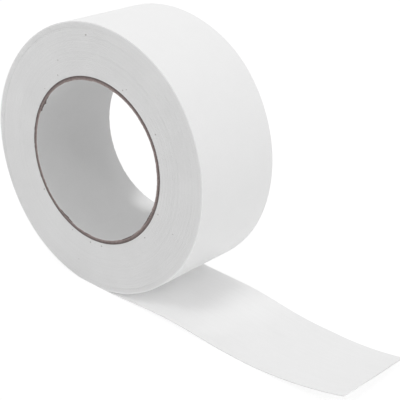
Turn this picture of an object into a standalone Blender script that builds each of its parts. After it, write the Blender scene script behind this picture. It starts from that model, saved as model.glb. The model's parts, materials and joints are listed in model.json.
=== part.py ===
"""Roll of double-sided tape on a spirally wound paper core, standing on its tread with a free tail.

Metres, +Z up. The roll's axis runs along Y. The origin is on the floor under the axis, and the tail runs
along +X.
"""
import math

import bmesh
import bpy
import numpy as np

# Roll and core
TAPE_WIDTH = 0.050
ROLL_DIAMETER = 0.128
SIT_FLAT = 0.0005
CORE_BORE_DIAMETER = 0.0762

# Core plies, from the bore outwards
INNER_PLY_THICKNESS = 0.0003
KRAFT_PLY_THICKNESS = 0.00047
KRAFT_PLY_COUNT = 3
GLUE_LINE = 0.00006
PLY_STRIP_WIDTH = 0.120
SEAM_GAP = 0.00045
INNER_SEAM_ANGLE = math.radians(190.0)
SEAM_STAGGER_ANGLE = math.radians(100.0)

# Layers of the web, from the liner inwards
LINER_THICKNESS = 0.00011
ADHESIVE_THICKNESS = 0.00007
CARRIER_THICKNESS = 0.00011
BOND_GAP = 0.00003

# How the last turn lies on the roll
TURN_GAP = 0.00055
RUNNING_CLEARANCE = 0.0003
TUCK_ANGLE = math.radians(45.0)

# The free tail: how far past the flat it stays on the roll, then its stretches out to the cut end
PEEL_ARC = math.radians(7.8)
RISE_LENGTH = 0.035
ARCH_HEIGHT = 0.0027
FALL_LENGTH = 0.0435
TOUCH_LENGTH = 0.006
CURL_LENGTH = 0.0446
CURL_RADIUS = 0.165

# Facets, and the points taken on each facet to measure the gap between turns
TURN_FACETS = 72
ARCH_FACETS = 7
CURL_FACETS = 8
POINTS_PER_FACET = 10
SMOOTH_ANGLE = math.radians(30.0)
WELD_DISTANCE = 1e-7

# Looks: colour and roughness
LINER_PAPER = ((0.84, 0.84, 0.84), 0.42)
ADHESIVE_COAT = ((0.84, 0.84, 0.84), 0.4)
CARRIER_FILM = ((0.78, 0.78, 0.78), 0.5)
WOUND_SIDE = ((0.75, 0.75, 0.75), 0.55)
GREY_PAPER = ((0.66, 0.66, 0.66), 0.5)
KRAFT_BOARD = ((0.19, 0.15, 0.14), 0.85)

# Sizes worked out from the ones above
HALF_WIDTH = TAPE_WIDTH / 2
ROLL_RADIUS = ROLL_DIAMETER / 2
AXIS_HEIGHT = ROLL_RADIUS - SIT_FLAT
FLAT_HALF_LENGTH = math.sqrt(ROLL_RADIUS**2 - AXIS_HEIGHT**2)
FLAT_ANGLE = math.asin(FLAT_HALF_LENGTH / ROLL_RADIUS)
PEEL_ANGLE = FLAT_ANGLE + PEEL_ARC
WEB_THICKNESS = LINER_THICKNESS + CARRIER_THICKNESS + 2 * ADHESIVE_THICKNESS + 3 * BOND_GAP
TURN_PITCH = WEB_THICKNESS + TURN_GAP
WOUND_RADIUS = AXIS_HEIGHT - TURN_PITCH - WEB_THICKNESS - RUNNING_CLEARANCE
CORE_RADIUS = (
    CORE_BORE_DIAMETER / 2 + INNER_PLY_THICKNESS + KRAFT_PLY_COUNT * (GLUE_LINE + KRAFT_PLY_THICKNESS)
)
FACET_ANGLE = 2 * math.pi / TURN_FACETS


def clear_scene():
    for old in list(bpy.data.objects):
        bpy.data.objects.remove(old, do_unlink=True)


def principled(name, looks):
    colour, roughness = looks
    material = bpy.data.materials.new(name)
    material.use_nodes = True
    shader = material.node_tree.nodes["Principled BSDF"]
    shader.inputs["Base Color"].default_value = (*colour, 1.0)
    shader.inputs["Roughness"].default_value = roughness
    shader.inputs["Metallic"].default_value = 0.0
    return material


def swept_object(name, sections, material, closed=False, capped=True):
    """A solid through four-cornered sections. Corners that coincide, as at a pointed end, become one."""
    bm = bmesh.new()
    rings = [[bm.verts.new(corner) for corner in section] for section in sections]
    pairs = list(zip(rings, rings[1:]))
    if closed:
        pairs.append((rings[-1], rings[0]))
    for ring, following in pairs:
        for i in range(4):
            j = (i + 1) % 4
            bm.faces.new((ring[i], ring[j], following[j], following[i]))
    if capped and not closed:
        bm.faces.new(rings[0][::-1])
        bm.faces.new(rings[-1])
    bmesh.ops.remove_doubles(bm, verts=bm.verts, dist=WELD_DISTANCE)
    bmesh.ops.recalc_face_normals(bm, faces=bm.faces)
    mesh = bpy.data.meshes.new(name)
    bm.to_mesh(mesh)
    bm.free()
    mesh.shade_smooth()
    mesh.set_sharp_from_angle(angle=SMOOTH_ANGLE)
    mesh.materials.append(material)
    built = bpy.data.objects.new(name, mesh)
    bpy.context.collection.objects.link(built)
    return built


def roll_point(radius, angle, y):
    """A point about the roll's axis, with its angle from straight down towards -X."""
    return (-radius * math.sin(angle), y, -radius * math.cos(angle))


def facet_radius(radius, angle):
    """How far the flat facet at this angle lies from the axis, where its corners lie at radius."""
    from_middle = (angle % FACET_ANGLE) - FACET_ANGLE / 2
    return radius * math.cos(FACET_ANGLE / 2) / math.cos(from_middle)


def tube_section(inner, outer, angle, low, high):
    inner = facet_radius(inner, angle)
    outer = facet_radius(outer, angle)
    return [
        roll_point(inner, angle, low),
        roll_point(inner, angle, high),
        roll_point(outer, angle, high),
        roll_point(outer, angle, low),
    ]


def wound_ply(name, inner, thickness, seam_angle, material):
    """One paper strip wound once round the tube, as a parallelogram whose ends butt at the seam."""
    outer = inner + thickness
    girth = 2 * math.pi * (inner + outer) / 2
    lead = PLY_STRIP_WIDTH * girth / math.sqrt(girth**2 - PLY_STRIP_WIDTH**2)
    slant = 2 * math.pi * TAPE_WIDTH / lead
    gap_round_tube = SEAM_GAP * math.hypot(girth, lead) / lead
    turn = 2 * math.pi * (1 - gap_round_tube / girth)
    end_angle = seam_angle + turn + slant
    first_facet = math.floor(seam_angle / FACET_ANGLE) + 1
    last_facet = math.ceil(end_angle / FACET_ANGLE) - 1
    angles = [facet * FACET_ANGLE for facet in range(first_facet, last_facet + 1)]
    angles += [seam_angle, seam_angle + slant, seam_angle + turn, end_angle]
    sections = []
    for angle in sorted(angles):
        high = -HALF_WIDTH + TAPE_WIDTH * (angle - seam_angle) / slant
        low = -HALF_WIDTH + TAPE_WIDTH * (angle - seam_angle - turn) / slant
        sections.append(tube_section(inner, outer, angle, max(low, -HALF_WIDTH), min(high, HALF_WIDTH)))
    return swept_object(name, sections, material, capped=False)


def core_plies():
    grey_paper = principled("core_grey_paper", GREY_PAPER)
    kraft_board = principled("core_kraft_board", KRAFT_BOARD)
    inner = CORE_BORE_DIAMETER / 2
    plies = [wound_ply("core_inner_ply", inner, INNER_PLY_THICKNESS, INNER_SEAM_ANGLE, grey_paper)]
    inner += INNER_PLY_THICKNESS + GLUE_LINE
    for number in range(1, KRAFT_PLY_COUNT + 1):
        seam_angle = INNER_SEAM_ANGLE + number * SEAM_STAGGER_ANGLE
        name = f"core_kraft_ply_{number}"
        plies.append(wound_ply(name, inner, KRAFT_PLY_THICKNESS, seam_angle, kraft_board))
        inner += KRAFT_PLY_THICKNESS + GLUE_LINE
    return plies


def inner_turns():
    """The turns under the last one, wound tight, as one plain ring."""
    wound_side = principled("wound_side", WOUND_SIDE)
    inner = CORE_RADIUS + GLUE_LINE
    angles = [facet * FACET_ANGLE for facet in range(TURN_FACETS)]
    sections = [tube_section(inner, WOUND_RADIUS, angle, -HALF_WIDTH, HALF_WIDTH) for angle in angles]
    return swept_object("inner_turns", sections, wound_side, closed=True)


def level_ended_path(start_x, start_z, end_x, end_z):
    """A stretch of the tail, level at both ends. Its last point is left to the stretch that follows."""
    points = []
    for step in range(ARCH_FACETS):
        share = step / ARCH_FACETS
        climbed = math.sin(math.pi / 2 * share) ** 2
        points.append((start_x + (end_x - start_x) * share, start_z + (end_z - start_z) * climbed))
    return points


def tail_path():
    """The underside of the tail in X and Z, from the cut end to where it leaves the roll."""
    peel_x = ROLL_RADIUS * math.sin(PEEL_ANGLE)
    peel_z = AXIS_HEIGHT - ROLL_RADIUS * math.cos(PEEL_ANGLE)
    crest_x = peel_x + RISE_LENGTH
    landing_x = crest_x + FALL_LENGTH
    lift_x = landing_x + TOUCH_LENGTH
    points = []
    for step in range(CURL_FACETS, -1, -1):
        bend = CURL_LENGTH / CURL_RADIUS * step / CURL_FACETS
        points.append((lift_x + CURL_RADIUS * math.sin(bend), CURL_RADIUS * (1 - math.cos(bend))))
    points += level_ended_path(landing_x, 0.0, crest_x, ARCH_HEIGHT)
    points += level_ended_path(crest_x, ARCH_HEIGHT, peel_x, peel_z)
    return points


def arc_path(start_radius, start_angle, end_radius, end_angle):
    """A spiral stretch about the roll's axis, both ends included."""
    steps = max(1, round((end_angle - start_angle) / FACET_ANGLE))
    points = []
    for step in range(steps + 1):
        share = step / steps
        radius = start_radius + (end_radius - start_radius) * share
        x, _, z = roll_point(radius, start_angle + (end_angle - start_angle) * share, 0.0)
        points.append((x, AXIS_HEIGHT + z))
    return points


def web_path():
    """The liner's outer face in X and Z: tail, flat under the roll, last turn, and the tuck under it."""
    tucked_height = AXIS_HEIGHT - TURN_PITCH
    tucked_radius = math.hypot(FLAT_HALF_LENGTH, tucked_height)
    tucked_angle = math.atan2(FLAT_HALF_LENGTH, tucked_height)
    tuck_end_radius = tucked_radius - TURN_PITCH * (TUCK_ANGLE - tucked_angle) / (2 * math.pi)
    path = tail_path()
    path += arc_path(ROLL_RADIUS, -PEEL_ANGLE, ROLL_RADIUS, -FLAT_ANGLE)
    path += arc_path(ROLL_RADIUS, FLAT_ANGLE, tucked_radius, 2 * math.pi - tucked_angle)
    path += arc_path(tucked_radius, tucked_angle, tuck_end_radius, TUCK_ANGLE)
    return np.array(path)


def offset_path(path, depth):
    """The path moved in by depth, square to each of its straight stretches."""
    along = np.diff(path, axis=0)
    along /= np.linalg.norm(along, axis=1)[:, None]
    inward = np.stack([along[:, 1], -along[:, 0]], axis=1)
    before = np.vstack([inward[:1], inward])
    after = np.vstack([inward, inward[-1:]])
    mitre = before + after
    mitre /= np.linalg.norm(mitre, axis=1)[:, None]
    reach = depth / np.sum(mitre * before, axis=1)
    return path + mitre * reach[:, None]


def web_layer(name, path, depth, thickness, material):
    """One layer of the web, unbroken from the cut end to the tuck."""
    face = offset_path(path, depth)
    back = offset_path(path, depth + thickness)
    sections = []
    for (face_x, face_z), (back_x, back_z) in zip(face, back):
        sections.append(
            [
                (face_x, -HALF_WIDTH, face_z),
                (face_x, HALF_WIDTH, face_z),
                (back_x, HALF_WIDTH, back_z),
                (back_x, -HALF_WIDTH, back_z),
            ]
        )
    return swept_object(name, sections, material)


def web_layers(path):
    liner_paper = principled("liner_paper", LINER_PAPER)
    adhesive = principled("adhesive", ADHESIVE_COAT)
    film = principled("carrier_film", CARRIER_FILM)
    layers = (
        ("release_liner", LINER_THICKNESS, liner_paper),
        ("outer_adhesive", ADHESIVE_THICKNESS, adhesive),
        ("carrier_film", CARRIER_THICKNESS, film),
        ("inner_adhesive", ADHESIVE_THICKNESS, adhesive),
    )
    depth = 0.0
    for name, thickness, material in layers:
        web_layer(name, path, depth, thickness, material)
        depth += thickness + BOND_GAP


def dense_points(path):
    shares = np.arange(POINTS_PER_FACET) / POINTS_PER_FACET
    starts = path[:-1, None, :]
    spans = np.diff(path, axis=0)[:, None, :]
    return (starts + spans * shares[None, :, None]).reshape(-1, 2)


def least_turn_gap(path):
    """The least distance from the web's inner face to its outer face one turn further in."""
    outer = dense_points(path)
    inner = dense_points(offset_path(path, WEB_THICKNESS))
    travelled = np.concatenate([[0.0], np.cumsum(np.linalg.norm(np.diff(outer, axis=0), axis=1))])
    half_turn = math.pi * ROLL_RADIUS
    apart = travelled[None, :] - travelled[:, None] > half_turn
    distance = np.linalg.norm(inner[:, None, :] - outer[None, :, :], axis=2)
    return distance[apart].min()


def main():
    clear_scene()
    roll_axis = bpy.data.objects.new("roll_axis", None)
    roll_axis.location = (0.0, 0.0, AXIS_HEIGHT)
    bpy.context.collection.objects.link(roll_axis)
    for piece in core_plies() + [inner_turns()]:
        piece.parent = roll_axis
    path = web_path()
    web_layers(path)
    print(f"Least gap between turns of the web: {least_turn_gap(path) * 1000:.3f} mm")


main()
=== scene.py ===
"""Looks of the roll of double-sided tape.

Every turn of the winding, the four layers of its last turns and its tail, the plies of its paper core, their
materials, and a plain studio with the photograph's camera."""

import json
import math

import bmesh
import bpy
import numpy as np
from mathutils import Matrix, Vector


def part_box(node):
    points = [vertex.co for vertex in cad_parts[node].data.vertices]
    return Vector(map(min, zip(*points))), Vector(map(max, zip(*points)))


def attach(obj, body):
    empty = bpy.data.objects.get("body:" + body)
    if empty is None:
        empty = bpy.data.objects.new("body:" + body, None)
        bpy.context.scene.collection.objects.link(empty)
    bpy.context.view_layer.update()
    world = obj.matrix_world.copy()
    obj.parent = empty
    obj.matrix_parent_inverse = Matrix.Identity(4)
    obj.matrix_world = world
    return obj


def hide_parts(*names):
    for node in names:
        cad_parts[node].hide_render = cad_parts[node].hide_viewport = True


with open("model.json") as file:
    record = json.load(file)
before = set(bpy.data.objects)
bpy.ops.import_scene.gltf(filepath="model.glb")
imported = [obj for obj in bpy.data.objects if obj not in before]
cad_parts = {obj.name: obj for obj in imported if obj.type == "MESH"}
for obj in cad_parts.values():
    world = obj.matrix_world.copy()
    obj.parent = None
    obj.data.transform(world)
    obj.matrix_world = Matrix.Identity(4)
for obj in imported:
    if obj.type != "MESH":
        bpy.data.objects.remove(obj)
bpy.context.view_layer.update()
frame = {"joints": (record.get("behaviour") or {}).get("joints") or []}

MM = 0.001

# Seeds of the random draws. The core's plies count up from theirs.
BODY_SEED = 7
WEB_SEED = 8
CORE_SEED = 17
SPECK_SEED = 27

# Sizes read from the frame
HALF_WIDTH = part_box("release_liner")[1].y
AXIS_HEIGHT = frame["joints"][0]["pos_m"][2]
CORE_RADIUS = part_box("core_kraft_ply_3")[1].x

# The winding. It leans from the core's centre, is a little oval, and is pressed flat where it stands.
ROLL_RADIUS = 64.23 * MM
LEAN_RIGHT = 0.46 * MM
LEAN_UP = 0.42 * MM
OVAL = 0.49 * MM

# High spots of the loose last turns: angle from +X in degrees, height, and spread in degrees
HIGH_SPOTS = (
    (52.0, 0.6 * MM, 13.0),
    (160.0, 0.2 * MM, 16.0),
    (176.0, 0.65 * MM, 13.0),
    (238.0, 0.12 * MM, 12.0),
    (283.0, 0.5 * MM, 10.0),
    (335.0, 0.3 * MM, 10.0),
)

# The floor can flatten the roll only where the cosine of the angle from straight down is over this.
STANDING_COSINE = 0.5

# The wound body under the loose last turns
BODY_RADIUS = 61.84 * MM
BODY_CLEARANCE = 0.012 * MM
CORE_CLEARANCE = 0.03 * MM
WOUND_TURNS = 47
WOUND_START = CORE_RADIUS + CORE_CLEARANCE
TURN_PITCH = (BODY_RADIUS - WOUND_START) / WOUND_TURNS
TURN_STEPS = 120

# A turn of the body: its share of the pitch, the liner's share of the turn, and how far the liner stands out
TURN_FILL = 0.97
LINER_SHARE = 0.28
EDGE_STEP = 0.05 * MM

# The loose last turns
WEB_TURNS = (ROLL_RADIUS - BODY_RADIUS - BODY_CLEARANCE) / TURN_PITCH
WEB_STEPS = 120

# Their layers from the liner inwards: name, the node that it replaces, where its outer and inner faces lie as
# shares of the pitch, and how far its edges stand back
LAYERS = (
    ("liner_ribbon", "release_liner", 0.0, 0.27, 0.0),
    ("outer_adhesive_ribbon", "outer_adhesive", 0.28, 0.44, 0.03 * MM),
    ("carrier_ribbon", "carrier_film", 0.45, 0.72, 0.015 * MM),
    ("inner_adhesive_ribbon", "inner_adhesive", 0.73, 0.97, 0.025 * MM),
)

# How far the turns stray sideways
EDGE_WANDER = 0.03 * MM

# How thin the tapered ends get before they stop, as shares of the pitch
BODY_TAPER_END = 0.1
WEB_TAPER_END = 0.02

# The free tail along its near and its far edge, which lie differently and so twist it: the angle from
# straight down where it leaves the roll, how far out and how high its crest is, where it lands, where it
# lifts again, the radius of its curl, and where it is cut
NEAR_EDGE = {
    "leaves": math.radians(7.4),
    "crest": 49.0 * MM,
    "arch": 1.86 * MM,
    "landing": 89.7 * MM,
    "lift": 90.7 * MM,
    "curl": 182.0 * MM,
    "end": 145.5 * MM,
}
FAR_EDGE = {
    "leaves": math.radians(22.5),
    "crest": 54.0 * MM,
    "arch": 3.55 * MM,
    "landing": 100.2 * MM,
    "lift": 111.7 * MM,
    "curl": 145.0 * MM,
    "end": 144.7 * MM,
}

# The slanted line where the tail peels off straightens out within this share of a turn.
PEEL_TURNS = 0.12

# Points across and along the tail
COLUMNS = 3
CURL_POINTS = 33
ARCH_STEPS = 24
TAIL_STATIONS = CURL_POINTS + 2 * ARCH_STEPS

# The core
BORE_RADIUS = 38.1 * MM
INNER_PLY = 0.3 * MM
KRAFT_PLY = 0.47 * MM
GLUE_LINE = 0.06 * MM
PLY_STRIP_WIDTH = 120.0 * MM
SEAM_GAP = 0.45 * MM
INNER_SEAM_ANGLE = math.radians(190.0)
SEAM_STAGGER_ANGLE = math.radians(100.0)
PLY_STEPS = 240

# The core's sawn ends: how far back they lie, how they fray, their bevels, and how the near bevel varies
CORE_RECESS = 0.08 * MM
FRAY = 0.05 * MM
LINING_LIP = 0.12 * MM
KRAFT_LIP = 0.03 * MM
RAGGED_SHARE = 0.5
RAGGED_KNOTS = 110

# The core is pressed a little out of round, and the turns over it follow, less and less.
CORE_LEAN = 0.15 * MM
CORE_OVAL = 0.13 * MM
CORE_LOBES = 0.11 * MM

# Torn spots of the lining's near end that hang over the bore: angle from +X in degrees, depth, and spread
# in degrees
BURRS = (
    (150.0, 0.65 * MM, 3.5),
    (157.0, 0.45 * MM, 2.0),
    (-116.0, 0.6 * MM, 4.0),
    (-95.0, 0.25 * MM, 2.5),
    (-52.0, 0.22 * MM, 14.0),
    (-24.0, 0.3 * MM, 6.0),
    (76.0, 0.15 * MM, 5.0),
    (97.0, 0.15 * MM, 8.0),
)

# How much a torn spot's depth varies from point to point, and the depth from which bare board shows
JAGGED = 0.4
BARE_BURR = 0.2 * MM

# Dark and light fibres of the board, from the lining's cut ends out to the last ply
KRAFT_BROWNS = (
    ((0.25, 0.196, 0.187), (0.408, 0.335, 0.32)),
    ((0.215, 0.169, 0.162), (0.352, 0.29, 0.278)),
    ((0.149, 0.118, 0.113), (0.26, 0.215, 0.206)),
    ((0.093, 0.074, 0.07), (0.172, 0.141, 0.136)),
)

# Specks of dust on the near side: distance from the axis, angle from +X in degrees, and size
NEAR_SPECKS = (
    (58.6 * MM, 98.6, 0.9 * MM),
    (48.9 * MM, 121.6, 0.6 * MM),
    (42.9 * MM, 126.5, 0.65 * MM),
    (41.3 * MM, -141.8, 0.85 * MM),
    (43.2 * MM, 35.0, 0.8 * MM),
    (41.8 * MM, 69.0, 0.65 * MM),
    (42.3 * MM, 142.8, 0.5 * MM),
    (41.7 * MM, -90.2, 0.8 * MM),
    (41.6 * MM, -80.2, 0.75 * MM),
    (42.3 * MM, -38.2, 0.85 * MM),
    (41.8 * MM, -16.7, 0.6 * MM),
    (41.7 * MM, -107.2, 0.6 * MM),
    (43.5 * MM, 66.9, 0.5 * MM),
    (52.6 * MM, -20.3, 0.5 * MM),
    (54.1 * MM, -97.9, 0.5 * MM),
)

# Specks on the far side, which the photograph doesn't show: how many, and ranges of distance and size
FAR_SPECKS = 9
FAR_SPECK_RADII = (41.5 * MM, 60.0 * MM)
FAR_SPECK_SIZES = (0.26 * MM, 0.4 * MM)

# The shape of a speck: its corners and how far out they may be, and its rings, each with a height over the
# roll's side and a share of the size
SPECK_CORNERS = 9
SPECK_REACHES = (0.6, 1.25)
SPECK_RINGS = (
    (-0.1 * MM, 1.0),
    (0.05 * MM, 0.95),
    (0.1 * MM, 0.6),
)

# Meshes: points closer than this are joined, and edges sharper than these stay sharp
WELD_DISTANCE = 1e-8
SHARP_DEGREES = 35.0
PLY_SHARP_DEGREES = 10.0

# The camera: its direction, and where the roll's centre falls in the picture
PICTURE_SIZE = 400
SENSOR_WIDTH = 36.0
CAMERA_LENS = 100.64
CAMERA_AZIMUTH = math.radians(37.55)
CAMERA_ELEVATION = math.radians(25.25)
CAMERA_ROLL = math.radians(5.15)
CAMERA_DISTANCE = 531.19 * MM
CAMERA_CLIP_START = 0.01
CAMERA_CLIP_END = 100.0
CENTRE_PIXEL = (131.62, 148.07)

# The world's strength and the floor's colour, for the light that they throw and as the camera sees them. The
# floor is darker to the camera and glows instead, so that it is white and its shadow is faint.
WORLD_LIGHT = 0.74
WORLD_SEEN = 1.0
FLOOR_LIGHT = 0.97
FLOOR_SEEN = 0.15
FLOOR_GLOW = 0.892
FLOOR_HALF_SIDE = 4.0
FLOOR_DROP = 0.02 * MM
WHITE = (1.0, 1.0, 1.0, 1.0)

# Soft boxes that face the origin: name, place, and power in watts
SOFTBOX_SIDE = 0.8
SOFTBOXES = (
    ("overhead_softbox", (0.3, 0.16, 2.4), 7.5),
    ("front_softbox", (0.1, -1.4, 2.2), 9.5),
)

# Narrow spots that lift the light under the roll, along the tail and in the bore: name, place, aim, cone in
# degrees, power in watts, and the beam's height as a share of its width
SPOT_SOFT_SIZE = 4.0 * MM
SPOTS = (
    ("low_spot", (0.62, -0.01, 0.055), (0.036, -0.01, 0.008), 8.8, 7.5, 0.27),
    ("rear_spot", (-0.005, 0.0935, 0.5), (-0.005, 0.0245, 0.0255), 3.2, 3.6, 1.0),
    ("crease_spot", (0.612, -0.026, 0.1047), (0.021, -0.026, 0.0006), 3.8, 6.0, 0.2),
    ("far_spot", (0.62, 0.03, 0.09), (0.05, 0.02, 0.003), 5.0, 3.5, 0.3),
)

# Noise textures: their roughness, the detail of noise along a line, and the values that most of it lies
# between
NOISE_ROUGHNESS = 0.6
NOISE_LINE_DETAIL = 3.0
NOISE_LOW = 0.3
NOISE_HIGH = 0.7


def make_camera():
    back = Vector(
        (
            math.sin(CAMERA_AZIMUTH) * math.cos(CAMERA_ELEVATION),
            -math.cos(CAMERA_AZIMUTH) * math.cos(CAMERA_ELEVATION),
            math.sin(CAMERA_ELEVATION),
        )
    )
    level = Vector((0, 0, 1)).cross(back).normalized()
    upright = back.cross(level)
    right = level * math.cos(CAMERA_ROLL) + upright * math.sin(CAMERA_ROLL)
    up = upright * math.cos(CAMERA_ROLL) - level * math.sin(CAMERA_ROLL)
    focal_pixels = CAMERA_LENS / SENSOR_WIDTH * PICTURE_SIZE
    across = (CENTRE_PIXEL[0] - PICTURE_SIZE / 2) / focal_pixels
    above = (PICTURE_SIZE / 2 - CENTRE_PIXEL[1]) / focal_pixels
    to_centre = (-back + right * across + up * above).normalized()
    place = Vector((0, 0, AXIS_HEIGHT)) - to_centre * CAMERA_DISTANCE
    data = bpy.data.cameras.new("photo_camera")
    data.lens = CAMERA_LENS
    data.sensor_width = SENSOR_WIDTH
    data.clip_start = CAMERA_CLIP_START
    data.clip_end = CAMERA_CLIP_END
    camera = bpy.data.objects.new("photo_camera", data)
    turn = Matrix((right, up, back)).transposed().to_4x4()
    camera.matrix_world = Matrix.Translation(place) @ turn
    bpy.context.scene.collection.objects.link(camera)
    bpy.context.scene.camera = camera


# Materials


class Nodes:
    """A material's node tree, with short ways to add what the materials below share."""

    def __init__(self, name, roughness, specular=0.5):
        self.material = bpy.data.materials.new(name)
        self.material.use_nodes = True
        self.tree = self.material.node_tree
        self.shader = self.tree.nodes["Principled BSDF"]
        self.shader.inputs["Roughness"].default_value = roughness
        self.shader.inputs["Specular IOR Level"].default_value = specular
        self.place = self.tree.nodes.new("ShaderNodeTexCoord").outputs["Object"]

    def link(self, source, target):
        self.tree.links.new(source, target)

    def paint(self, colour):
        self.link(colour, self.shader.inputs["Base Color"])

    def roughen(self, value):
        self.link(value, self.shader.inputs["Roughness"])

    def stretched(self, scale):
        node = self.tree.nodes.new("ShaderNodeMapping")
        node.inputs["Scale"].default_value = scale
        self.link(self.place, node.inputs["Vector"])
        return node.outputs["Vector"]

    def noise(self, place, scale, detail=4.0):
        node = self.tree.nodes.new("ShaderNodeTexNoise")
        node.inputs["Scale"].default_value = scale
        node.inputs["Detail"].default_value = detail
        node.inputs["Roughness"].default_value = NOISE_ROUGHNESS
        self.link(place, node.inputs["Vector"])
        return node.outputs["Fac"]

    def noise_line(self, value, scale):
        node = self.tree.nodes.new("ShaderNodeTexNoise")
        node.noise_dimensions = "1D"
        node.inputs["Scale"].default_value = scale
        node.inputs["Detail"].default_value = NOISE_LINE_DETAIL
        self.link(value, node.inputs["W"])
        return node.outputs["Fac"]

    def ramp(self, value, low, high):
        """The noise as a colour between two."""
        node = self.tree.nodes.new("ShaderNodeValToRGB")
        node.color_ramp.elements[0].position = NOISE_LOW
        node.color_ramp.elements[0].color = (*low, 1.0)
        node.color_ramp.elements[1].position = NOISE_HIGH
        node.color_ramp.elements[1].color = (*high, 1.0)
        self.link(value, node.inputs["Fac"])
        return node.outputs["Color"]

    def between(self, value, low, high):
        """The noise as a number between two."""
        node = self.tree.nodes.new("ShaderNodeMapRange")
        node.inputs["From Min"].default_value = NOISE_LOW
        node.inputs["From Max"].default_value = NOISE_HIGH
        node.inputs["To Min"].default_value = low
        node.inputs["To Max"].default_value = high
        self.link(value, node.inputs["Value"])
        return node.outputs["Result"]

    def multiply(self, first, second):
        node = self.tree.nodes.new("ShaderNodeMix")
        node.data_type = "RGBA"
        node.blend_type = "MULTIPLY"
        node.inputs["Factor"].default_value = 1.0
        self.link(first, node.inputs["A"])
        self.link(second, node.inputs["B"])
        return node.outputs["Result"]

    def bump(self, value, depth):
        node = self.tree.nodes.new("ShaderNodeBump")
        node.inputs["Distance"].default_value = depth
        self.link(value, node.inputs["Height"])
        self.link(node.outputs["Normal"], self.shader.inputs["Normal"])

    def radius(self):
        """Distance from the roll's axis."""
        centred = self.tree.nodes.new("ShaderNodeVectorMath")
        centred.operation = "SUBTRACT"
        centred.inputs[1].default_value = (0.0, 0.0, AXIS_HEIGHT)
        self.link(self.place, centred.inputs[0])
        flattened = self.tree.nodes.new("ShaderNodeVectorMath")
        flattened.operation = "MULTIPLY"
        flattened.inputs[1].default_value = (1.0, 0.0, 1.0)
        self.link(centred.outputs["Vector"], flattened.inputs[0])
        length = self.tree.nodes.new("ShaderNodeVectorMath")
        length.operation = "LENGTH"
        self.link(flattened.outputs["Vector"], length.inputs[0])
        return length.outputs["Value"]


def grey(value):
    return (value, value, value)


def liner_paper():
    """Smooth coated paper: a faint cloudy formation and a satin gloss."""
    nodes = Nodes("liner_paper", roughness=0.42)
    clouds = nodes.ramp(nodes.noise(nodes.place, scale=90.0), grey(0.988), grey(1.0))
    fibres = nodes.noise(nodes.place, scale=1400.0)
    nodes.paint(nodes.multiply(nodes.ramp(fibres, grey(0.857), grey(0.875)), clouds))
    nodes.roughen(nodes.between(fibres, 0.38, 0.46))
    nodes.bump(fibres, depth=0.01 * MM)
    return nodes.material


def adhesive_coat():
    """The tacky coat: a little glossier, with faint coating streaks along the tape."""
    nodes = Nodes("adhesive_coat", roughness=0.4)
    streaks = nodes.noise(nodes.stretched((60.0, 700.0, 60.0)), scale=1.0)
    clouds = nodes.ramp(nodes.noise(nodes.place, scale=70.0), grey(0.988), grey(1.0))
    nodes.paint(nodes.multiply(nodes.ramp(streaks, grey(0.835), grey(0.855)), clouds))
    nodes.roughen(nodes.between(streaks, 0.36, 0.46))
    nodes.bump(nodes.noise(nodes.place, scale=900.0, detail=2.0), depth=0.01 * MM)
    return nodes.material


def carrier_film():
    """Plain film with a fine grain."""
    nodes = Nodes("carrier_film", roughness=0.5)
    grain = nodes.noise(nodes.place, scale=2000.0)
    nodes.paint(nodes.ramp(grain, grey(0.74), grey(0.80)))
    return nodes.material


def wound_edges():
    """Cut edges of all the turns: bands of slightly unlike turns, fine grain and soft smudges."""
    nodes = Nodes("wound_edges", roughness=0.55, specular=0.3)
    distance = nodes.radius()
    bands = nodes.ramp(nodes.noise_line(distance, scale=700.0), grey(0.98), grey(1.0))
    grain = nodes.ramp(nodes.noise(nodes.place, scale=1600.0), grey(0.742), grey(0.772))
    smudges = nodes.ramp(nodes.noise(nodes.place, scale=55.0, detail=3.0), grey(0.96), grey(1.0))
    nodes.paint(nodes.multiply(nodes.multiply(grain, bands), smudges))
    nodes.bump(nodes.noise_line(distance, scale=2600.0), depth=0.12 * MM)
    return nodes.material


def core_paper():
    """The core's grey inner ply: recycled paper with short fibres round the tube."""
    nodes = Nodes("core_paper", roughness=0.65, specular=0.2)
    fibres = nodes.noise(nodes.stretched((1200.0, 3600.0, 1200.0)), scale=1.0)
    clouds = nodes.ramp(nodes.noise(nodes.place, scale=120.0), grey(0.98), grey(1.0))
    nodes.paint(nodes.multiply(nodes.ramp(fibres, grey(0.631), grey(0.657)), clouds))
    nodes.bump(fibres, depth=0.01 * MM)
    return nodes.material


def kraft_board(name, dark, light):
    """Brown board with coarse fibres."""
    nodes = Nodes(name, roughness=0.85, specular=0.2)
    fibres = nodes.noise(nodes.place, scale=1500.0, detail=6.0)
    nodes.paint(nodes.ramp(fibres, dark, light))
    nodes.bump(fibres, depth=0.04 * MM)
    return nodes.material


def dust():
    """Dull brownish grey."""
    nodes = Nodes("dust", roughness=0.9, specular=0.2)
    grain = nodes.noise(nodes.place, scale=3000.0)
    nodes.paint(nodes.ramp(grain, (0.38, 0.366, 0.358), (0.52, 0.505, 0.495)))
    return nodes.material


# Geometry


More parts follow.
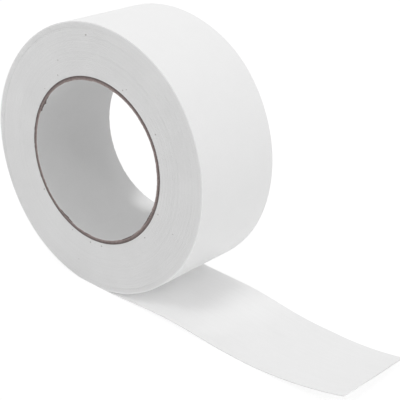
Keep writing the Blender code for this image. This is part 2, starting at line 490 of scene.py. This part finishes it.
def swept_object(
    name, sections, material, edge_material=None, edge_sides=(), edge_start=0, sharp_degrees=SHARP_DEGREES
):
    """A closed solid through sections, an array of stations, corners and coordinates.

    The edge material, where there is one, covers the sides that start at the numbered corners and the ends,
    from the numbered station on."""
    stations, corners, _ = sections.shape
    index = np.arange(stations * corners).reshape(stations, corners)
    following = np.roll(index, -1, axis=1)
    sides = np.stack([index[:-1], following[:-1], following[1:], index[1:]], axis=-1).reshape(-1, 4)
    faces = sides.tolist() + [index[0, ::-1].tolist(), index[-1].tolist()]
    mesh = bpy.data.meshes.new(name)
    mesh.from_pydata(sections.reshape(-1, 3).tolist(), [], faces)
    mesh.materials.append(material)
    if edge_material:
        mesh.materials.append(edge_material)
        on_edge = np.zeros((stations - 1, corners), np.int32)
        on_edge[edge_start:, list(edge_sides)] = 1
        ends = [int(edge_start == 0), 1]
        slots = np.concatenate([on_edge.ravel(), ends]).astype(np.int32)
        mesh.polygons.foreach_set("material_index", slots)
    joined = bmesh.new()
    joined.from_mesh(mesh)
    bmesh.ops.remove_doubles(joined, verts=joined.verts, dist=WELD_DISTANCE)
    bmesh.ops.recalc_face_normals(joined, faces=joined.faces)
    joined.to_mesh(mesh)
    joined.free()
    mesh.shade_smooth()
    mesh.set_sharp_from_angle(angle=math.radians(sharp_degrees))
    swept = bpy.data.objects.new(name, mesh)
    bpy.context.scene.collection.objects.link(swept)
    return swept


def about_axis(radius, angle, y):
    """Points about the roll's axis. The angle is from straight down, towards -X."""
    radius, angle, y = np.broadcast_arrays(radius, angle, y)
    return np.stack([-radius * np.sin(angle), y, AXIS_HEIGHT - radius * np.cos(angle)], axis=-1)


def spot_heights(angle, spots):
    """Sum of smooth spots. The angle is from straight down, and the spots' own angles are from +X."""
    from_right = -90.0 - np.degrees(angle)
    total = np.zeros_like(angle)
    for place, height, spread in spots:
        away = (from_right - place + 180.0) % 360.0 - 180.0
        total = total + height * np.exp(-((away / spread) ** 2) / 2)
    return total


def out_of_round(radius, angle):
    """A radius of the core or of the turns on it, after the core's bend."""
    bend = CORE_LEAN * np.sin(angle) - CORE_OVAL * np.cos(2 * angle) + CORE_LOBES * np.cos(3 * angle)
    return radius + bend * (BODY_RADIUS - radius) / (BODY_RADIUS - BORE_RADIUS)


def edge_wander(turns, seed):
    """How far the edge of the winding strays sideways, turn by turn."""
    knots = np.random.default_rng(seed).normal(0.0, 1.0, int(turns.max()) + 3)
    return EDGE_WANDER * np.interp(turns, np.arange(len(knots)), knots)


def wound_turns(material):
    """All the turns under the loose ones, as one unbroken ribbon from the outside in.

    Its first and last turn taper to round bounds."""
    turns = np.arange(0, (WOUND_TURNS + 1) * TURN_STEPS) / TURN_STEPS
    outer = BODY_RADIUS - TURN_PITCH * (turns - 1)
    inner = outer - TURN_PITCH * TURN_FILL
    outer = np.minimum(outer, BODY_RADIUS)
    inner = np.maximum(inner, WOUND_START)
    kept = outer - inner > BODY_TAPER_END * TURN_PITCH
    turns, outer, inner = turns[kept], outer[kept], inner[kept]
    step = outer - LINER_SHARE * (outer - inner)
    loose_turns = round(WEB_TURNS * TURN_STEPS) / TURN_STEPS
    angle = 2 * math.pi * (turns + loose_turns) - NEAR_EDGE["leaves"]
    wander = edge_wander(turns, BODY_SEED)
    low = -HALF_WIDTH + wander
    high = HALF_WIDTH + wander
    corners = (
        (outer, low),
        (outer, high),
        (step, high),
        (step, high - EDGE_STEP),
        (inner, high - EDGE_STEP),
        (inner, low + EDGE_STEP),
        (step, low + EDGE_STEP),
        (step, low),
    )
    sections = np.stack([about_axis(out_of_round(radius, angle), angle, y) for radius, y in corners], axis=1)
    return swept_object("wound_turns", sections, material)


def web_radius(angle, depth):
    """Radius of the web at a depth counted in turns from the outside."""
    lean = LEAN_RIGHT * np.sin(angle) + LEAN_UP * np.cos(angle)
    around = ROLL_RADIUS - lean - OVAL * np.sin(2 * angle) + spot_heights(angle, HIGH_SPOTS)
    standing = AXIS_HEIGHT / np.maximum(np.cos(angle), STANDING_COSINE)
    outmost = np.minimum(around, standing)
    inmost = BODY_RADIUS + BODY_CLEARANCE
    return np.maximum(outmost - (outmost - inmost) * depth / WEB_TURNS, inmost)


def tail_line(share):
    """What describes the tail along a line that lies this share of the width from the near edge."""
    return {name: near + share * (FAR_EDGE[name] - near) for name, near in NEAR_EDGE.items()}


def tail_path(line):
    """The underside of the tail along a line, in X and Z, from the cut end to the roll."""
    peel = -line["leaves"]
    radius = web_radius(peel, (peel + NEAR_EDGE["leaves"]) / (2 * math.pi))
    start_x = -radius * math.sin(peel)
    start_z = AXIS_HEIGHT - radius * math.cos(peel)
    curl_x = np.linspace(line["end"], line["lift"], CURL_POINTS)
    curl_z = line["curl"] - np.sqrt(line["curl"] ** 2 - (curl_x - line["lift"]) ** 2)
    rise = np.linspace(0.0, 1.0, ARCH_STEPS, endpoint=False)
    swell = np.sin(math.pi / 2 * rise) ** 2
    front_x = line["landing"] + (line["crest"] - line["landing"]) * rise
    front_z = line["arch"] * swell
    back_x = line["crest"] + (start_x - line["crest"]) * rise
    back_z = line["arch"] + (start_z - line["arch"]) * swell
    x = np.concatenate([curl_x, front_x, back_x])
    z = np.concatenate([curl_z, front_z, back_z])
    return np.stack([x, z], axis=1)


def raised(path, height):
    """The path moved up, square to itself."""
    along = np.gradient(path, axis=0)
    along /= np.linalg.norm(along, axis=1)[:, None]
    return path + height * np.stack([along[:, 1], -along[:, 0]], axis=1)


def web_ribbon(name, face_share, back_share, inset, material, edge_material):
    """One layer of the web, unbroken from the cut end through the last turns, where it runs out on the body.

    Along the tail and the outermost turn its edges show the layer's own material."""
    last_turn = WEB_TURNS - face_share - WEB_TAPER_END
    turns = np.append(np.arange(math.ceil(last_turn * WEB_STEPS)) / WEB_STEPS, last_turn)
    wander = edge_wander(turns, WEB_SEED) * np.minimum(turns, 1.0)
    slant = np.maximum(1.0 - turns / PEEL_TURNS, 0.0) ** 2
    faces = []
    backs = []
    for column in np.linspace(0.0, 1.0, COLUMNS):
        y = (2 * column - 1) * (HALF_WIDTH - inset)
        line = tail_line(column)
        path = tail_path(line)
        angle = 2 * math.pi * turns - NEAR_EDGE["leaves"] - (line["leaves"] - NEAR_EDGE["leaves"]) * slant
        depth = (angle + NEAR_EDGE["leaves"]) / (2 * math.pi)
        for side, share in ((faces, face_share), (backs, back_share)):
            x, z = raised(path, share * TURN_PITCH).T
            tail = np.stack([x, np.full_like(x, y), z], axis=1)
            wound = about_axis(web_radius(angle, depth + share), angle, y + wander)
            side.append(np.concatenate([tail, wound]))
    sections = np.stack(faces + backs[::-1], axis=1)
    edge_sides = (COLUMNS - 1, 2 * COLUMNS - 1)
    edge_start = TAIL_STATIONS + WEB_STEPS
    return swept_object(name, sections, material, edge_material, edge_sides, edge_start)


def ragged_edge(angle, seed):
    """How a sawn paper edge strays, every few degrees round the core, in a spread of one."""
    knots = np.random.default_rng(seed).normal(0.0, 1.0, RAGGED_KNOTS)
    around = angle / (2 * math.pi) * RAGGED_KNOTS
    return np.interp(around, np.arange(RAGGED_KNOTS), knots, period=RAGGED_KNOTS)


def core_ply(name, inner, thickness, seam_angle, lip, burrs, material, end_material, seed):
    """One paper strip wound once round the core, with a butt seam on a helix and slightly frayed ends.

    The lip is the width of the bevel that the saw leaves at both ends of the inner face, and the burrs
    are torn spots of the near one."""
    outer = inner + thickness
    girth = math.pi * (inner + outer)
    lead = PLY_STRIP_WIDTH * girth / math.sqrt(girth**2 - PLY_STRIP_WIDTH**2)
    width = 2 * HALF_WIDTH
    slant = 2 * math.pi * width / lead
    turn = 2 * math.pi * (1 - SEAM_GAP * math.hypot(girth, lead) / lead / girth)
    steps = int(PLY_STEPS * (turn + slant) / (2 * math.pi))
    angle = np.linspace(seam_angle, seam_angle + turn + slant, steps)
    strays = np.random.default_rng(seed).normal(0.0, 1.0, (2, PLY_STEPS))
    around = np.round(angle / (2 * math.pi) * PLY_STEPS).astype(int) % PLY_STEPS
    far_stray, near_stray = strays[:, around]
    seam_high = -HALF_WIDTH + width * (angle - seam_angle) / slant
    seam_low = -HALF_WIDTH + width * (angle - seam_angle - turn) / slant
    high = np.minimum(seam_high, HALF_WIDTH - CORE_RECESS + FRAY * far_stray)
    low = np.maximum(seam_low, -HALF_WIDTH + CORE_RECESS + FRAY * near_stray)
    high = np.maximum(high, low)
    # Where the strip runs to a point at its seam, the bevels shrink with it.
    bevel = np.minimum(lip, (high - low) / 3)
    jagged = 1.0 + JAGGED * far_stray
    torn = spot_heights(angle, burrs) * jagged * (seam_low < -HALF_WIDTH)
    near_lip = bevel * (1.0 + RAGGED_SHARE * ragged_edge(angle, seed + 1)) - torn
    corners = (
        (inner, low + bevel),
        (inner, high - bevel),
        (inner + bevel, high),
        (outer, high),
        (outer, low),
        (inner + near_lip, low),
    )
    sections = np.stack([about_axis(out_of_round(radius, angle), angle, y) for radius, y in corners], axis=1)
    end_sides = (2, 4)
    return swept_object(name, sections, material, end_material, end_sides, sharp_degrees=PLY_SHARP_DEGREES)


def darken_burrs(ply, burrs, material):
    """Bare board shows where the near end of a ply is torn."""
    end_slot = 1
    bare_slot = len(ply.data.materials)
    ply.data.materials.append(material)
    for face in ply.data.polygons:
        angle = math.atan2(-face.center.x, AXIS_HEIGHT - face.center.z)
        torn = spot_heights(np.array(angle), burrs) > BARE_BURR
        if torn and face.material_index == end_slot and face.center.y < 0:
            face.material_index = bare_slot


def all_specks(draw):
    """Every speck's distance from the axis, angle from +X in degrees, size, and side of the roll."""
    specks = [(*speck, -1.0) for speck in NEAR_SPECKS]
    for _ in range(FAR_SPECKS):
        radius = draw.uniform(*FAR_SPECK_RADII)
        angle = draw.uniform(0.0, 360.0)
        size = draw.uniform(*FAR_SPECK_SIZES)
        specks.append((radius, angle, size, 1.0))
    return specks


def side_specks(material):
    """Small flakes of dust stuck to the tacky sides of the roll."""
    draw = np.random.default_rng(SPECK_SEED)
    flakes = bmesh.new()
    for radius, angle, size, side in all_specks(draw):
        middle_x = radius * math.cos(math.radians(angle))
        middle_z = AXIS_HEIGHT + radius * math.sin(math.radians(angle))
        around = np.arange(SPECK_CORNERS) / SPECK_CORNERS * 2 * math.pi
        reach = size / 2 * draw.uniform(*SPECK_REACHES, SPECK_CORNERS)
        rings = []
        for lift, share in SPECK_RINGS:
            y = side * (HALF_WIDTH + lift)
            x = middle_x + share * reach * np.cos(around)
            z = middle_z + share * reach * np.sin(around)
            rings.append([flakes.verts.new((corner_x, y, corner_z)) for corner_x, corner_z in zip(x, z)])
        for below, above in zip(rings, rings[1:]):
            for corner in range(SPECK_CORNERS):
                after = (corner + 1) % SPECK_CORNERS
                flakes.faces.new((below[corner], below[after], above[after], above[corner]))
        flakes.faces.new(rings[0])
        flakes.faces.new(rings[-1])
    bmesh.ops.recalc_face_normals(flakes, faces=flakes.faces)
    mesh = bpy.data.meshes.new("side_specks")
    flakes.to_mesh(mesh)
    flakes.free()
    mesh.materials.append(material)
    specks = bpy.data.objects.new("side_specks", mesh)
    bpy.context.scene.collection.objects.link(specks)
    return specks


# Assembly


def dress_web(edges):
    coat = adhesive_coat()
    materials = {
        "release_liner": (liner_paper(), "liner_paper"),
        "outer_adhesive": (coat, "adhesive"),
        "carrier_film": (carrier_film(), "carrier_film"),
        "inner_adhesive": (coat, "adhesive"),
    }
    for name, node, face_share, back_share, inset in LAYERS:
        material, slot = materials[node]
        ribbon = web_ribbon(name, face_share, back_share, inset, material, edges)
        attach(ribbon, "web")
        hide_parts(node)


def dress_winding(edges):
    winding = wound_turns(edges)
    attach(winding, "roll")
    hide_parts("inner_turns")
    specks = side_specks(dust())
    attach(specks, "roll")


def dress_core():
    boards = [kraft_board(f"kraft_board_{number}", *browns) for number, browns in enumerate(KRAFT_BROWNS)]
    lining = core_ply(
        "core_lining",
        BORE_RADIUS,
        INNER_PLY,
        INNER_SEAM_ANGLE,
        LINING_LIP,
        BURRS,
        material=core_paper(),
        end_material=boards[0],
        seed=CORE_SEED,
    )
    darken_burrs(lining, BURRS, boards[-1])
    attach(lining, "roll")
    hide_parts("core_inner_ply")
    inner = BORE_RADIUS + INNER_PLY + GLUE_LINE
    for number, board in enumerate(boards[1:], start=1):
        ply = core_ply(
            f"kraft_ply_{number}",
            inner,
            KRAFT_PLY,
            INNER_SEAM_ANGLE + number * SEAM_STAGGER_ANGLE,
            KRAFT_LIP,
            burrs=(),
            material=board,
            end_material=board,
            seed=CORE_SEED + number,
        )
        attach(ply, "roll")
        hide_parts(f"core_kraft_ply_{number}")
        inner += KRAFT_PLY + GLUE_LINE


# Studio


def by_ray(tree, lit, seen):
    """A value that is one for diffuse light, and another for the camera, reflections and clear things."""
    path = tree.nodes.new("ShaderNodeLightPath")
    looking = path.outputs["Is Camera Ray"]
    for ray in ("Is Glossy Ray", "Is Transmission Ray"):
        either = tree.nodes.new("ShaderNodeMath")
        either.operation = "MAXIMUM"
        tree.links.new(looking, either.inputs[0])
        tree.links.new(path.outputs[ray], either.inputs[1])
        looking = either.outputs["Value"]
    value = tree.nodes.new("ShaderNodeMapRange")
    value.inputs["To Min"].default_value = lit
    value.inputs["To Max"].default_value = seen
    tree.links.new(looking, value.inputs["Value"])
    return value.outputs["Result"]


def make_world():
    world = bpy.data.worlds.new("studio")
    world.use_nodes = True
    background = world.node_tree.nodes["Background"]
    background.inputs["Color"].default_value = WHITE
    strength = by_ray(world.node_tree, WORLD_LIGHT, WORLD_SEEN)
    world.node_tree.links.new(strength, background.inputs["Strength"])
    bpy.context.scene.world = world


def floor_material():
    """Pale floor that keeps the shadow, lifted to white for the camera."""
    material = bpy.data.materials.new("pale_floor")
    material.use_nodes = True
    tree = material.node_tree
    shader = tree.nodes["Principled BSDF"]
    shader.inputs["Roughness"].default_value = 1.0
    shader.inputs["Specular IOR Level"].default_value = 0.0
    shader.inputs["Emission Color"].default_value = WHITE
    tree.links.new(by_ray(tree, FLOOR_LIGHT, FLOOR_SEEN), shader.inputs["Base Color"])
    tree.links.new(by_ray(tree, 0.0, FLOOR_GLOW), shader.inputs["Emission Strength"])
    return material


def make_floor():
    half = FLOOR_HALF_SIDE
    corners = [(-half, -half, 0), (half, -half, 0), (half, half, 0), (-half, half, 0)]
    mesh = bpy.data.meshes.new("floor")
    mesh.from_pydata(corners, [], [(0, 1, 2, 3)])
    mesh.materials.append(floor_material())
    floor = bpy.data.objects.new("floor", mesh)
    bpy.context.scene.collection.objects.link(floor)
    floor.location.z = -FLOOR_DROP


def hang_light(data, place, aim):
    light = bpy.data.objects.new(data.name, data)
    light.location = place
    light.rotation_euler = (Vector(aim) - Vector(place)).to_track_quat("-Z", "Y").to_euler()
    bpy.context.scene.collection.objects.link(light)
    return light


def make_softbox(name, place, power):
    data = bpy.data.lights.new(name, "AREA")
    data.shape = "RECTANGLE"
    data.size = SOFTBOX_SIDE
    data.size_y = SOFTBOX_SIDE
    data.energy = power
    hang_light(data, place, aim=(0.0, 0.0, 0.0))


def make_spot(name, place, aim, cone_degrees, power, height_share):
    """A narrow spot. Its beam may be lower than it is wide."""
    data = bpy.data.lights.new(name, "SPOT")
    data.spot_size = math.radians(cone_degrees)
    data.spot_blend = 1.0
    data.shadow_soft_size = SPOT_SOFT_SIZE
    data.energy = power
    spot = hang_light(data, place, aim)
    spot.scale.y = height_share


def make_lights():
    for softbox in SOFTBOXES:
        make_softbox(*softbox)
    for spot in SPOTS:
        make_spot(*spot)


make_camera()
make_world()
make_floor()
make_lights()
bpy.context.scene.view_settings.view_transform = "Standard"
cut_edges = wound_edges()
dress_web(cut_edges)
dress_winding(cut_edges)
dress_core()
